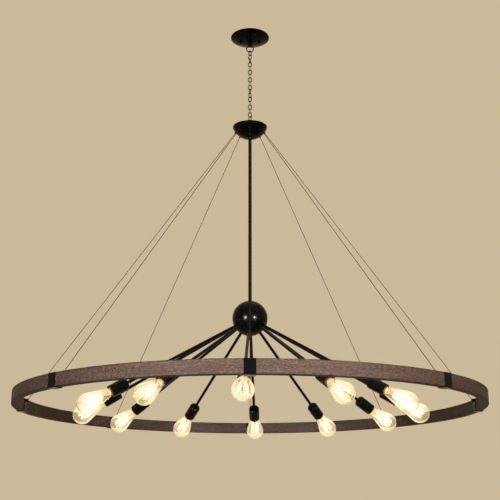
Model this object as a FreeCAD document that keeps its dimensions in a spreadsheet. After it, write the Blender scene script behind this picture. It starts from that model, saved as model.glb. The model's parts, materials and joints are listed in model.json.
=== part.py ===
"""Wagon wheel chandelier: a wooden rim on eight wires, twelve arms from a ball, a chain and a canopy.

The frame's origin is the middle of the ceiling face of the crossbar. +Z points up, +X to the right.
"""
import FreeCAD, Part
import math
import os
import re
import Sketcher
from FreeCAD import Placement, Rotation, Vector

# ---------------------------------------------------------------- driving dimensions, in mm
DIMENSIONS = {
    # ceiling fixing
    "crossbar_length": 112.0,
    "crossbar_width": 20.0,
    "crossbar_thick": 2.0,
    "slot_spacing": 88.9,
    "slot_length": 10.0,
    "slot_width": 4.6,
    "stud_spacing": 70.0,
    "stud_radius": 2.0,
    "stud_reach": 4.0,
    "nipple_radius": 5.0,
    "nipple_bore_radius": 3.5,
    "nipple_reach": 9.0,
    "locknut_thick": 3.0,
    "locknut_flats": 15.0,
    # canopy
    "canopy_radius": 71.0,
    "canopy_depth": 20.0,
    "canopy_side": 1.5,
    "canopy_wall": 1.2,
    "cap_nut_radius": 4.5,
    "cap_nut_side": 4.0,
    # loops and chain
    "loop_radius": 14.5,
    "loop_wire": 4.0,
    "loop_sink": 2.0,
    "collar_radius": 11.0,
    "collar_tip_radius": 7.7,
    "collar_length": 14.0,
    "hub_collar_length": 3.0,
    "link_wire": 3.0,
    "link_inside": 16.0,
    "link_width": 15.0,
    "link_count": 18.0,
    "link_turn": 45.0,
    # hub
    "hub_radius": 62.0,
    "hub_bowl_depth": 42.0,
    "hub_wall": 2.0,
    "lid_thick": 2.0,
    "shank_radius": 4.4,
    "shank_length": 16.0,
    # suspension
    "wire_count": 8.0,
    "wire_radius": 1.0,
    "wire_hub_radius": 51.0,
    "wire_ball_radius": 2.4,
    "ferrule_radius": 3.4,
    "ferrule_outside": 5.0,
    "ferrule_inside": 5.0,
    "anchor_radius": 4.0,
    "anchor_length": 10.0,
    # rod and ball
    "rod_radius": 6.0,
    "rod_bore_radius": 4.5,
    "rod_exposed": 602.5,
    "rod_nut_flats": 19.0,
    "rod_nut_thick": 5.0,
    "ball_radius": 60.0,
    "ball_wall": 2.0,
    "cluster_face": 38.0,
    "cluster_half_face": 9.0,
    "cluster_top": 4.0,
    # arms
    "arm_count": 12.0,
    "arm_slope": 30.0,
    "arm_turn": -2.0,
    "arm_radius": 5.0,
    "arm_bore_radius": 4.0,
    "arm_engagement": 8.0,
    "arm_end": 503.0,
    "arm_nut_flats": 14.0,
    "arm_nut_thick": 3.0,
    # sockets
    "cup_radius": 19.0,
    "cup_wall": 1.5,
    "cup_length": 60.0,
    "cup_end_thick": 2.0,
    "cup_shoulder": 7.0,
    "cup_band": 0.5,
    "cup_band_width": 3.0,
    "holder_inset": 1.5,
    "nose_room": 3.0,
    "contact_radius": 4.0,
    # bulbs
    "base_radius": 13.1,
    "base_length": 27.0,
    "base_nose_radius": 5.0,
    "base_nose": 4.0,
    "thread_depth": 0.7,
    "thread_count": 6.0,
    "bulb_radius": 32.0,
    "bulb_length": 140.0,
    "neck_radius": 12.9,
    "neck_inset": 1.0,
    "glass_wall": 0.7,
    "base_wall": 1.0,
    # rim
    "rim_radius": 762.0,
    "rim_thick": 22.0,
    "rim_height": 40.0,
    "rim_drop": 1017.5,
    "rim_round": 1.5,
    "rim_joint": 0.6,
    "bracket_width": 32.0,
    "bracket_thick": 2.0,
    "screw_spacing": 16.0,
    "screw_radius": 1.9,
    "screw_length": 14.0,
    "screw_head_radius": 3.6,
    "screw_head_height": 1.8,
    # clearances
    "thread_clearance": 0.05,
    "seat_gap": 0.1,
    "hole_clearance": 0.3,
    "link_clearance": 0.3,
    "loop_clearance": 0.8,
    "socket_clearance": 0.4,
}

doc = FreeCAD.newDocument("WagonWheelChandelier")
sheet = doc.addObject("Spreadsheet::Sheet", "Dims")
for row, (alias, number) in enumerate(DIMENSIONS.items(), start=1):
    sheet.set(f"A{row}", alias)
    sheet.set(f"B{row}", str(number))
    sheet.setAlias(f"B{row}", alias)
doc.recompute()


class Sizes:
    """The sheet's numbers by name, for the lengths that the code itself works out."""

    def __getattr__(self, alias):
        return float(sheet.get(alias))


size = Sizes()
subparts = []
CELL_OF = {alias: f"Dims.{alias}" for alias in DIMENSIONS}


def cells(text):
    """An expression with each dimension's name turned into its cell."""
    return re.sub(r"[a-z_]+", lambda found: CELL_OF.get(found[0], found[0]), text)


def value(text):
    """What an expression over the dimensions comes to."""
    found = sheet.evalExpression(cells(text))
    return float(getattr(found, "Value", found))


# ---------------------------------------------------------------- heights, as expressions
CANOPY_LOOP_CENTRE = "-( canopy_depth + seat_gap + collar_length + loop_radius - loop_sink )"
CANOPY_LOOP_SEAT = f"( {CANOPY_LOOP_CENTRE} - loop_radius + loop_wire )"
LINK_PITCH = "( link_inside - link_clearance )"
CHAIN_START = f"( {CANOPY_LOOP_SEAT} + loop_clearance )"
CHAIN_END = f"( {CHAIN_START} - link_inside - ( link_count - 1 ) * {LINK_PITCH} )"
HUB_LOOP_CENTRE = f"( {CHAIN_END} + loop_clearance + loop_wire - loop_radius )"
HUB_TOP = f"( {HUB_LOOP_CENTRE} - loop_radius + loop_sink - hub_collar_length )"
BOWL_RIM = f"( {HUB_TOP} - lid_thick )"
BOWL_BOTTOM = f"( {BOWL_RIM} - hub_bowl_depth )"
BALL_CENTRE = f"( {BOWL_BOTTOM} - rod_exposed - ball_radius )"
RIM_BOTTOM = f"( {HUB_TOP} - rim_drop )"


# ---------------------------------------------------------------- sketches and bodies
def origin_plane(body, role):
    """One of a body's own base planes."""
    return next(plane for plane in body.Origin.OriginFeatures if plane.Role == role)


def new_body(label, height="0"):
    """An empty body whose zero lies at this height on the chandelier's axis."""
    body = doc.addObject("PartDesign::Body", label)
    body.Label = label
    if height != "0":
        body.setExpression("Placement.Base.z", cells(height))
    return body


def arc_through(start, end, radius):
    """The arc of this radius from start to end; a negative radius puts it on the other side."""
    middle = (start + end) * 0.5
    chord = end - start
    side = Vector(chord.y, -chord.x, 0).normalize()
    half = chord.Length / 2
    rise = abs(radius) - math.sqrt(max(radius * radius - half * half, 0.0))
    top = middle + side * math.copysign(rise, radius)
    return Part.Arc(start, top, end)


def fix_point(sketch, edge, end, corner):
    """Ties one point of a sketch to its two expressions."""
    axes = (("DistanceX", -2, corner[0]), ("DistanceY", -1, corner[1]))
    for kind, axis, text in axes:
        number = value(text)
        if abs(number) < 1e-9:
            sketch.addConstraint(Sketcher.Constraint("PointOnObject", edge, end, axis))
            continue
        index = sketch.addConstraint(Sketcher.Constraint(kind, -1, 1, edge, end, number))
        sketch.setExpression(f"Constraints[{index}]", cells(text))


def add_outline(sketch, corners):
    """A closed outline. A corner is (x, y) or (x, y, radius of the arc to the next corner)."""
    points = [Vector(value(corner[0]), value(corner[1]), 0) for corner in corners]
    first = sketch.GeometryCount
    count = len(corners)
    starts = []
    ends = []
    for step, corner in enumerate(corners):
        start = points[step]
        end = points[(step + 1) % count]
        if len(corner) == 2:
            sketch.addGeometry(Part.LineSegment(start, end))
            starts.append(1)
            ends.append(2)
            continue
        sketch.addGeometry(arc_through(start, end, value(corner[2])))
        forward = sketch.getPoint(first + step, 1).distanceToPoint(start) < 1e-6
        starts.append(1 if forward else 2)
        ends.append(2 if forward else 1)
    for step, corner in enumerate(corners):
        following = (step + 1) % count
        joined = (first + step, ends[step], first + following, starts[following])
        sketch.addConstraint(Sketcher.Constraint("Coincident", *joined))
        fix_point(sketch, first + step, starts[step], corner)
        if len(corner) == 3:
            bend = Sketcher.Constraint("Radius", first + step, abs(value(corner[2])))
            index = sketch.addConstraint(bend)
            sketch.setExpression(f"Constraints[{index}]", f"abs( {cells(corner[2])} )")


def new_sketch(body, name, role):
    """An empty sketch on one of the body's base planes."""
    sketch = body.newObject("Sketcher::SketchObject", f"{body.Label}_{name}")
    sketch.AttachmentSupport = (origin_plane(body, role), [""])
    sketch.MapMode = "FlatFace"
    return sketch


def turned(label, corners, height="0"):
    """A body turned from an outline of (radius, height) corners around the Z axis."""
    body = new_body(label, height)
    sketch = new_sketch(body, "profile", "XZ_Plane")
    add_outline(sketch, corners)
    turn = body.newObject("PartDesign::Revolution", f"{label}_turn")
    turn.Profile = sketch
    turn.ReferenceAxis = (sketch, ["V_Axis"])
    turn.Angle = 360.0
    sketch.Visibility = False
    doc.recompute()
    return body


def drilled(body, name, centres, radius):
    """Round holes along Z, right through the body, at (x, y) centres."""
    before = body.Shape.Volume
    sketch = new_sketch(body, name, "XY_Plane")
    for x_text, y_text in centres:
        centre = Vector(value(x_text), value(y_text), 0)
        edge = sketch.addGeometry(Part.Circle(centre, Vector(0, 0, 1), value(radius)))
        fix_point(sketch, edge, 3, (x_text, y_text))
        index = sketch.addConstraint(Sketcher.Constraint("Radius", edge, value(radius)))
        sketch.setExpression(f"Constraints[{index}]", cells(radius))
    pocket = body.newObject("PartDesign::Pocket", f"{body.Label}_{name}_cut")
    pocket.Profile = sketch
    pocket.Type = "ThroughAll"
    pocket.Midplane = True
    doc.recompute()
    if body.Shape.Volume >= before:
        raise RuntimeError(f"{name} cuts nothing from {body.Label}")


def hexagon_nut(label, flats, thick, bore, height="0"):
    """A hexagon nut standing on its base plane."""
    body = new_body(label, height)
    sketch = new_sketch(body, "outline", "XY_Plane")
    corner = f"{flats} / 2 / cos( 30 )"
    outline = []
    for step in range(6):
        angle = 30 + 60 * step
        outline.append((f"{corner} * cos( {angle} )", f"{corner} * sin( {angle} )"))
    add_outline(sketch, outline)
    edge = sketch.addGeometry(Part.Circle(Vector(0, 0, 0), Vector(0, 0, 1), value(bore)))
    sketch.addConstraint(Sketcher.Constraint("Coincident", edge, 3, -1, 1))
    index = sketch.addConstraint(Sketcher.Constraint("Radius", edge, value(bore)))
    sketch.setExpression(f"Constraints[{index}]", cells(bore))
    pad = body.newObject("PartDesign::Pad", f"{label}_pad")
    pad.Profile = sketch
    pad.setExpression("Length", cells(thick))
    doc.recompute()
    return body


def subpart(node, feature):
    """Names a finished sub-part and keeps it for the parts folder."""
    feature.Label = node
    subparts.append((node, feature))
    return feature


def group(node, shapes):
    """Several separate solids of one kind, as one sub-part."""
    feature = doc.addObject("Part::Feature", node)
    feature.Shape = shapes[0] if len(shapes) == 1 else Part.Compound(shapes)
    return subpart(node, feature)


def placed(shape, placement):
    """A copy of a shape, moved by a placement."""
    moved = shape.copy()
    moved.Placement = placement.multiply(shape.Placement)
    return moved


# ---------------------------------------------------------------- arcs of the dished pieces
CANOPY_RISE = "( canopy_depth - canopy_side )"
CANOPY_BEND = f"( ( canopy_radius ^ 2 + {CANOPY_RISE} ^ 2 ) / 2 / {CANOPY_RISE} )"
BOWL_BEND = "( ( hub_radius ^ 2 + hub_bowl_depth ^ 2 ) / 2 / hub_bowl_depth )"
BOWL_INNER_RADIUS = "( hub_radius - hub_wall )"
BOWL_INNER_DEPTH = "( hub_bowl_depth - hub_wall )"
BOWL_INNER_BEND = f"( ( {BOWL_INNER_RADIUS} ^ 2 + {BOWL_INNER_DEPTH} ^ 2 ) / 2 / {BOWL_INNER_DEPTH} )"


def dish_height(low, bend, radius):
    """Height of a dished surface at this distance from its middle."""
    return low + bend - math.sqrt(bend * bend - radius * radius)


def canopy_under(radius):
    """Height of the canopy's underside at this distance from its middle."""
    return dish_height(-size.canopy_depth, value(CANOPY_BEND), radius)


def bowl_outside(radius):
    """Height of the hub bowl's outside at this distance from its middle."""
    return dish_height(value(BOWL_BOTTOM), value(BOWL_BEND), radius)


def bowl_inside(radius):
    """Height of the hub bowl's inside at this distance from its middle."""
    low = value(BOWL_BOTTOM) + size.hub_wall
    return dish_height(low, value(BOWL_INNER_BEND), radius)


# ---------------------------------------------------------------- ceiling fixing
def make_crossbar():
    """The steel strip that is screwed to the ceiling box."""
    body = new_body("ceiling_crossbar", "-crossbar_thick")
    sketch = new_sketch(body, "outline", "XY_Plane")
    half = ("crossbar_length / 2", "crossbar_width / 2")
    signs = ((-1, -1), (1, -1), (1, 1), (-1, 1))
    add_outline(sketch, [(f"{x} * {half[0]}", f"{y} * {half[1]}") for x, y in signs])
    pad = body.newObject("PartDesign::Pad", "ceiling_crossbar_pad")
    pad.Profile = sketch
    pad.setExpression("Length", cells("crossbar_thick"))
    doc.recompute()
    drilled(body, "nipple_hole", [("0", "0")], "nipple_radius + thread_clearance")
    studs = [("stud_spacing / 2", "0"), ("-stud_spacing / 2", "0")]
    drilled(body, "stud_holes", studs, "stud_radius + thread_clearance")
    before = body.Shape.Volume
    slots = new_sketch(body, "slots", "XY_Plane")
    run = "( slot_length - slot_width ) / 2"
    for side in (-1, 1):
        left = f"{side} * slot_spacing / 2 - {run}"
        right = f"{side} * slot_spacing / 2 + {run}"
        end = "slot_width / 2"
        add_outline(slots, [
            (left, f"-{end}"),
            (right, f"-{end}", end),
            (f"{right} + {end}", "0", end),
            (right, end),
            (left, end, end),
            (f"{left} - {end}", "0", end),
        ])
    pocket = body.newObject("PartDesign::Pocket", "ceiling_crossbar_slots_cut")
    pocket.Profile = slots
    pocket.Type = "ThroughAll"
    pocket.Midplane = True
    doc.recompute()
    if body.Shape.Volume >= before:
        raise RuntimeError("the slots cut nothing")
    subpart("ceiling_crossbar", body)


def cap_nut_seat():
    """Height of a cap nut's flat top, just under the canopy."""
    inner = size.stud_spacing / 2 - size.cap_nut_radius
    return canopy_under(inner) - size.seat_gap


def make_studs():
    """The two studs that hang from the crossbar and hold the canopy."""
    shapes = []
    for side in (-1, 1):
        length = -cap_nut_seat() + size.stud_reach
        foot = Vector(side * size.stud_spacing / 2, 0, -length)
        shapes.append(Part.makeCylinder(size.stud_radius, length, foot))
    group("canopy_studs", shapes)


def make_nipple():
    """The threaded tube that carries the load and lets the wiring through."""
    low = "-( canopy_depth + nipple_reach )"
    outline = [
        ("nipple_bore_radius", low),
        ("nipple_radius", low),
        ("nipple_radius", "0"),
        ("nipple_bore_radius", "0"),
    ]
    subpart("canopy_nipple", turned("canopy_nipple", outline))


def make_nipple_locknut():
    """The nut that locks the nipple under the crossbar."""
    height = "-( crossbar_thick + seat_gap + locknut_thick )"
    bore = "nipple_radius + thread_clearance"
    nut = hexagon_nut("nipple_locknut", "locknut_flats", "locknut_thick", bore, height)
    subpart("nipple_locknut", nut)


def make_canopy():
    """The shallow round pan against the ceiling."""
    inner_radius = "( canopy_radius - canopy_wall )"
    inner_bend = f"( ( {inner_radius} ^ 2 + {CANOPY_RISE} ^ 2 ) / 2 / {CANOPY_RISE} )"
    outline = [
        ("canopy_radius", "0"),
        (inner_radius, "0"),
        (inner_radius, "-( canopy_side - canopy_wall )", f"-1 * {inner_bend}"),
        ("0", "-( canopy_depth - canopy_wall )"),
        ("0", "-canopy_depth", CANOPY_BEND),
        ("canopy_radius", "-canopy_side"),
    ]
    body = turned("canopy", outline)
    drilled(body, "nipple_hole", [("0", "0")], "nipple_radius + thread_clearance")
    studs = [("stud_spacing / 2", "0"), ("-stud_spacing / 2", "0")]
    drilled(body, "stud_holes", studs, "stud_radius + hole_clearance")
    subpart("canopy", body)


def make_cap_nuts():
    """The two domed nuts under the canopy."""
    outline = [
        ("0", "-cap_nut_side - cap_nut_radius", "cap_nut_radius"),
        ("cap_nut_radius", "-cap_nut_side"),
        ("cap_nut_radius", "0"),
        ("stud_radius + thread_clearance", "0"),
        ("stud_radius + thread_clearance", "-( stud_reach + seat_gap )"),
        ("0", "-( stud_reach + seat_gap )"),
    ]
    template = turned("cap_nut_template", outline)
    shapes = []
    for side in (-1, 1):
        seat = Vector(side * size.stud_spacing / 2, 0, cap_nut_seat())
        shapes.append(placed(template.Shape, Placement(seat, Rotation())))
    group("cap_nuts", shapes)


# ---------------------------------------------------------------- loops and chain
def make_loop(node, centre, collar_top, collar_bottom, below):
    """A ring in the XZ plane on a round collar; below says that the ring hangs under the collar."""
    ring = doc.addObject("Part::Torus", f"{node}_ring")
    ring.setExpression("Radius1", cells("loop_radius - loop_wire / 2"))
    ring.setExpression("Radius2", cells("loop_wire / 2"))
    ring.Placement = Placement(Vector(0, 0, 0), Rotation(Vector(1, 0, 0), 90))
    ring.setExpression("Placement.Base.z", cells(centre))
    collar = doc.addObject("Part::Cone", f"{node}_collar")
    narrow = "collar_tip_radius"
    collar.setExpression("Radius1", cells(narrow if below else "collar_radius"))
    collar.setExpression("Radius2", cells("collar_radius" if below else narrow))
    collar.setExpression("Height", cells(f"{collar_top} - {collar_bottom}"))
    collar.setExpression("Placement.Base.z", cells(collar_bottom))
    joined = doc.addObject("Part::Fuse", f"{node}_solid")
    joined.Base = ring
    joined.Tool = collar
    return joined


def make_canopy_loop():
    """The loop screwed on the nipple under the canopy, with its wiring way."""
    top = "-( canopy_depth + seat_gap )"
    bottom = f"( {top} - collar_length )"
    solid = make_loop("canopy_loop", CANOPY_LOOP_CENTRE, top, bottom, True)
    thread = doc.addObject("Part::Cylinder", "canopy_loop_thread")
    thread.setExpression("Radius", cells("nipple_radius + thread_clearance"))
    thread.setExpression("Height", cells("nipple_reach + seat_gap"))
    thread.setExpression("Placement.Base.z", cells("-( canopy_depth + nipple_reach + seat_gap )"))
    cut = doc.addObject("Part::Cut", "canopy_loop")
    cut.Base = solid
    cut.Tool = thread
    subpart("canopy_loop", cut)


def make_hub_loop():
    """The loop on the hub: ring, collar, and a shank that reaches into the rod."""
    top = f"( {HUB_TOP} + seat_gap + hub_collar_length )"
    bottom = f"( {HUB_TOP} + seat_gap )"
    solid = make_loop("hub_loop", HUB_LOOP_CENTRE, top, bottom, False)
    shank = doc.addObject("Part::Cylinder", "hub_loop_shank")
    shank.setExpression("Radius", cells("shank_radius"))
    shank.setExpression("Height", cells("shank_length + hub_collar_length"))
    shank.setExpression("Placement.Base.z", cells(f"{HUB_TOP} - shank_length"))
    joined = doc.addObject("Part::Fuse", "hub_loop")
    joined.Base = solid
    joined.Tool = shank
    subpart("hub_loop", joined)


def link_shape():
    """One oval link in the XZ plane, its middle at the origin."""
    bar = size.link_wire / 2
    reach = size.link_width / 2 - bar
    half = size.link_inside / 2 + bar - reach
    left = Vector(-reach, 0, 0)
    corners = [Vector(-reach, 0, half), Vector(0, 0, half + reach), Vector(reach, 0, half)]
    lower = [Vector(reach, 0, -half), Vector(0, 0, -half - reach), Vector(-reach, 0, -half)]
    path = Part.Wire([
        Part.makeLine(left, corners[0]),
        Part.Arc(*corners).toShape(),
        Part.makeLine(corners[2], lower[0]),
        Part.Arc(*lower).toShape(),
        Part.makeLine(lower[2], left),
    ])
    section = Part.Wire([Part.makeCircle(bar, left, Vector(0, 0, 1))])
    return path.makePipeShell([section], True, True)


def link_centre(number):
    """Height of a link's middle; link 0 hangs from the canopy loop."""
    first = value(CHAIN_START) - size.link_inside / 2
    return first - number * value(LINK_PITCH)


# Where the chain's twist gathers: each place as a share of the way down, with the degrees turned by there.
CHAIN_TWIST = ((0.0, 0.0), (0.18, 45.0), (0.53, 45.0), (0.77, 135.0), (0.88, 135.0), (1.0, 180.0))


def link_twist(number):
    """How far the chain has twisted at a link, in degrees: half a turn in all, gathered in three places."""
    share = number / (size.link_count - 1)
    for (start, before), (end, after) in zip(CHAIN_TWIST, CHAIN_TWIST[1:]):
        if share <= end:
            break
    return before + (after - before) * (share - start) / (end - start)


def make_chain():
    """Top link, upper half, lower half and bottom link; each link is about a quarter turn from the last."""
    base = link_shape()
    links = []
    for number in range(int(size.link_count)):
        turn = size.link_turn + 90 * (number % 2) + link_twist(number)
        place = Placement(Vector(0, 0, link_centre(number)), Rotation(Vector(0, 0, 1), turn))
        links.append(placed(base, place))
    middle = len(links) // 2
    group("chain_link_top", links[:1])
    group("chain_upper_links", links[1:middle])
    group("chain_lower_links", links[middle:-1])
    group("chain_link_bottom", links[-1:])


# ---------------------------------------------------------------- hub
def wire_ends():
    """Where a wire leaves the hub bowl and the middle of its anchor, in the XZ half plane."""
    upper = Vector(size.wire_hub_radius, 0, bowl_outside(size.wire_hub_radius))
    plate = size.rim_radius - size.rim_thick - size.bracket_thick - size.seat_gap
    reach = plate - size.seat_gap - size.anchor_radius
    height = value(RIM_BOTTOM) + size.rim_height - size.anchor_length / 2
    return upper, Vector(reach, 0, height)


def wire_direction():
    """The way a wire runs, down and outwards, in the XZ half plane."""
    upper, lower = wire_ends()
    return (lower - upper).normalize()


def around(shape, count, start=0.0):
    """Copies of a shape at even turns around the Z axis; the first faces -Y."""
    copies = []
    for number in range(int(count)):
        turn = -90 + start + 360 / count * number
        copies.append(placed(shape, Placement(Vector(0, 0, 0), Rotation(Vector(0, 0, 1), turn))))
    return copies


def make_hub_bowl():
    """The shallow bowl, with a hole for the rod and one for each ferrule."""
    outline = [
        ("0", "0", BOWL_BEND),
        ("hub_radius", "hub_bowl_depth"),
        (BOWL_INNER_RADIUS, "hub_bowl_depth", f"-1 * {BOWL_INNER_BEND}"),
        ("0", "hub_wall"),
    ]
    plain = turned("hub_bowl_plain", outline, BOWL_BOTTOM)
    drilled(plain, "rod_hole", [("0", "0")], "rod_radius + hole_clearance")
    upper, _ = wire_ends()
    along = wire_direction()
    radius = size.ferrule_radius + size.hole_clearance
    reach = 4 * size.hub_wall
    hole = Part.makeCylinder(radius, 2 * reach, upper - along * reach, along)
    holes = doc.addObject("Part::Feature", "hub_bowl_ferrule_holes")
    holes.Shape = Part.Compound(around(hole, size.wire_count))
    bowl = doc.addObject("Part::Cut", "hub_bowl")
    bowl.Base = plain
    bowl.Tool = holes
    subpart("hub_bowl", bowl)


def make_hub_lid():
    """The flat lid on the bowl."""
    outline = [
        ("shank_radius + thread_clearance", "0"),
        ("hub_radius", "0"),
        ("hub_radius", "lid_thick"),
        ("shank_radius + thread_clearance", "lid_thick"),
    ]
    subpart("hub_lid", turned("hub_lid", outline, BOWL_RIM))


# ---------------------------------------------------------------- rod, ball and cluster
CLUSTER_REACH = "( cluster_face * cos( arm_slope ) )"
CLUSTER_DROP = "( cluster_face * sin( arm_slope ) )"
CLUSTER_LOW = f"( {CLUSTER_DROP} + cluster_half_face * cos( arm_slope ) )"


def make_rod():
    """The tube from the hub down into the ball."""
    top = f"( {BOWL_RIM} - seat_gap )"
    bottom = f"( {BALL_CENTRE} - {CLUSTER_LOW} - rod_nut_thick - 2 * seat_gap )"
    outline = [
        ("rod_bore_radius", "0"),
        ("rod_radius", "0"),
        ("rod_radius", f"{top} - {bottom}"),
        ("rod_bore_radius", f"{top} - {bottom}"),
    ]
    subpart("centre_rod", turned("centre_rod", outline, bottom))


def make_cluster():
    """The turned body in the ball, with a sloping face that the arms screw into."""
    half_run = "cluster_half_face * sin( arm_slope )"
    half_rise = "cluster_half_face * cos( arm_slope )"
    outline = [
        ("rod_radius + hole_clearance", f"-{CLUSTER_LOW}"),
        (f"{CLUSTER_REACH} - {half_run}", f"-{CLUSTER_LOW}"),
        (f"{CLUSTER_REACH} + {half_run}", f"-{CLUSTER_DROP} + {half_rise}"),
        (f"{CLUSTER_REACH} + {half_run}", "-cluster_top"),
        ("rod_radius + hole_clearance", "-cluster_top"),
    ]
    plain = turned("cluster_plain", outline, BALL_CENTRE)
    depth = size.arm_engagement + size.seat_gap
    radius = size.arm_radius + size.thread_clearance
    hole = Part.makeCylinder(radius, 2 * depth, Vector(0, 0, size.cluster_face - depth))
    holes = doc.addObject("Part::Feature", "cluster_arm_holes")
    holes.Shape = Part.Compound(on_arms(hole))
    cluster = doc.addObject("Part::Cut", "cluster_body")
    cluster.Base = plain
    cluster.Tool = holes
    subpart("cluster_body", cluster)


def make_ball():
    """The two halves of the black ball."""
    outer = "ball_radius"
    inner = "( ball_radius - ball_wall )"
    rod_hole = "( rod_radius + hole_clearance )"
    top = [
        (outer, "seat_gap / 2"),
        (inner, "seat_gap / 2", f"{inner}"),
        (rod_hole, f"sqrt( {inner} ^ 2 - {rod_hole} ^ 2 )"),
        (rod_hole, f"sqrt( {outer} ^ 2 - {rod_hole} ^ 2 )", f"-1 * {outer}"),
    ]
    upper = turned("ball_upper_half", top, BALL_CENTRE)
    subpart("ball_upper_half", upper)
    bottom = [
        (inner, "0"),
        (outer, "0", f"-1 * {outer}"),
        ("0", f"-{outer}"),
        ("0", f"-{inner}", f"{inner}"),
    ]
    plain = turned("ball_lower_plain", bottom, BALL_CENTRE)
    radius = size.arm_radius + size.hole_clearance
    hole = Part.makeCylinder(radius, size.ball_radius, Vector(0, 0, size.ball_radius / 2))
    holes = doc.addObject("Part::Feature", "ball_arm_holes")
    holes.Shape = Part.Compound(on_arms(hole))
    lower = doc.addObject("Part::Cut", "ball_lower_half")
    lower.Base = plain
    lower.Tool = holes
    subpart("ball_lower_half", lower)


# ---------------------------------------------------------------- arms and sockets
def arm_frame(number):
    """Placement that takes +Z at the origin to an arm's line from the ball's centre."""
    turn = -90 + size.arm_turn + 360 / size.arm_count * number
    slope = Rotation(Vector(0, 1, 0), 90 + size.arm_slope)
    spin = Rotation(Vector(0, 0, 1), turn)
    return Placement(Vector(0, 0, value(BALL_CENTRE)), spin.multiply(slope))


def on_arms(shape):
    """A copy of a shape on each arm; its +Z runs outwards along the arm."""
    return [placed(shape, arm_frame(number)) for number in range(int(size.arm_count))]


def cup_start():
    """Distance from the ball's centre to a socket cup's outer end face."""
    return size.arm_end - size.cup_end_thick - size.arm_nut_thick + size.seat_gap


def make_arms():
    """Twelve tubes from the cluster body to the socket cups."""
    start = size.cluster_face - size.arm_engagement
    length = size.arm_end - start
    tube = Part.makeCylinder(size.arm_radius, length, Vector(0, 0, start))
    bore = Part.makeCylinder(size.arm_bore_radius, length, Vector(0, 0, start))
    group("arms", on_arms(tube.cut(bore)))


def arm_nuts():
    """A lock nut on each end of each arm: outside the cluster body and inside the socket cup."""
    bore = "arm_radius + thread_clearance"
    nut = hexagon_nut("arm_nut_template", "arm_nut_flats", "arm_nut_thick", bore)
    inner = Placement(Vector(0, 0, size.cluster_face + size.seat_gap), Rotation())
    cup_floor = cup_start() + size.cup_end_thick + size.seat_gap
    outer = Placement(Vector(0, 0, cup_floor), Rotation())
    return on_arms(placed(nut.Shape, inner)) + on_arms(placed(nut.Shape, outer))


def rod_nuts():
    """The nut in the hub bowl and the two that clamp the cluster body on the rod."""
    bore = "rod_radius + thread_clearance"
    nut = hexagon_nut("rod_nut_template", "rod_nut_flats", "rod_nut_thick", bore)
    corner = size.rod_nut_flats / 2 / math.cos(math.radians(30))
    in_hub = bowl_inside(corner) + size.seat_gap
    over = value(f"{BALL_CENTRE} - cluster_top") + size.seat_gap
    under = value(f"{BALL_CENTRE} - {CLUSTER_LOW} - rod_nut_thick") - size.seat_gap
    places = [Placement(Vector(0, 0, height), Rotation()) for height in (in_hub, over, under)]
    return [placed(nut.Shape, place) for place in places]


def make_cups():
    """Twelve black socket cups, each with a rounded shoulder and a raised band."""
    inner = "( cup_radius - cup_wall )"
    band_low = "( cup_length / 2 - cup_band_width / 2 )"
    band_high = "( cup_length / 2 + cup_band_width / 2 )"
    outline = [
        ("arm_radius + thread_clearance", "0"),
        ("cup_radius - cup_shoulder", "0", "cup_shoulder"),
        ("cup_radius", "cup_shoulder"),
        ("cup_radius", band_low),
        ("cup_radius + cup_band", band_low),
        ("cup_radius + cup_band", band_high),
        ("cup_radius", band_high),
        ("cup_radius", "cup_length"),
        (inner, "cup_length"),
        (inner, "cup_shoulder", "-( cup_shoulder - cup_end_thick )"),
        (f"{inner} - ( cup_shoulder - cup_end_thick )", "cup_end_thick"),
        ("arm_radius + thread_clearance", "cup_end_thick"),
    ]
    template = turned("cup_template", outline)
    place = Placement(Vector(0, 0, cup_start()), Rotation())
    group("socket_cups", on_arms(placed(template.Shape, place)))


HOLDER_OUTSIDE = "( cup_radius - cup_wall - seat_gap )"
HOLDER_FOOT = "( cup_shoulder )"
HOLDER_MOUTH = "( cup_length - holder_inset )"
BASE_START = "( cup_length - base_length + neck_inset )"


def make_lampholders():
    """Twelve insulating lampholders in the cups, and the contact in the floor of each."""
    bore = "( base_radius + socket_clearance )"
    outline = [
        ("contact_radius + seat_gap", HOLDER_FOOT),
        (HOLDER_OUTSIDE, HOLDER_FOOT),
        (HOLDER_OUTSIDE, HOLDER_MOUTH),
        (bore, HOLDER_MOUTH),
        (bore, f"{BASE_START} - socket_clearance"),
        ("base_nose_radius + nose_room", f"{BASE_START} - base_nose - socket_clearance"),
        ("contact_radius + seat_gap", f"{BASE_START} - base_nose - socket_clearance"),
    ]
    template = turned("lampholder_template", outline)
    place = Placement(Vector(0, 0, cup_start()), Rotation())
    group("lampholders", on_arms(placed(template.Shape, place)))
    top = value(f"{BASE_START} - base_nose") - size.socket_clearance + size.seat_gap
    foot = value(HOLDER_FOOT) + size.seat_gap
    contact = Part.makeCylinder(size.contact_radius, top - foot, Vector(0, 0, foot))
    group("socket_contacts", on_arms(placed(contact, place)))


# ---------------------------------------------------------------- bulbs
def bulb_base_outline():
    """Half section of a screw base: nose contact, taper, rounded thread and a plain collar."""
    radius = "base_radius"
    corners = [
        ("0", "-base_nose"),
        ("base_nose_radius", "-base_nose"),
        ("base_nose_radius + 1", "-base_nose * 0.6"),
        (f"{radius} - thread_depth", "0"),
    ]
    pitch = "( base_length * 0.8 / thread_count )"
    for turn in range(int(size.thread_count)):
        crest = f"( {turn} + 0.5 ) * {pitch}"
        root = f"( {turn} + 1 ) * {pitch}"
        corners.append((radius, crest))
        corners.append((f"{radius} - thread_depth", root))
    inner = f"( {radius} - thread_depth - base_wall )"
    corners.append((radius, "base_length * 0.8 + thread_depth"))
    corners.append((radius, "base_length"))
    corners.append((inner, "base_length"))
    corners.append((inner, "base_wall"))
    corners.append(("0", "base_wall"))
    return corners


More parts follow.
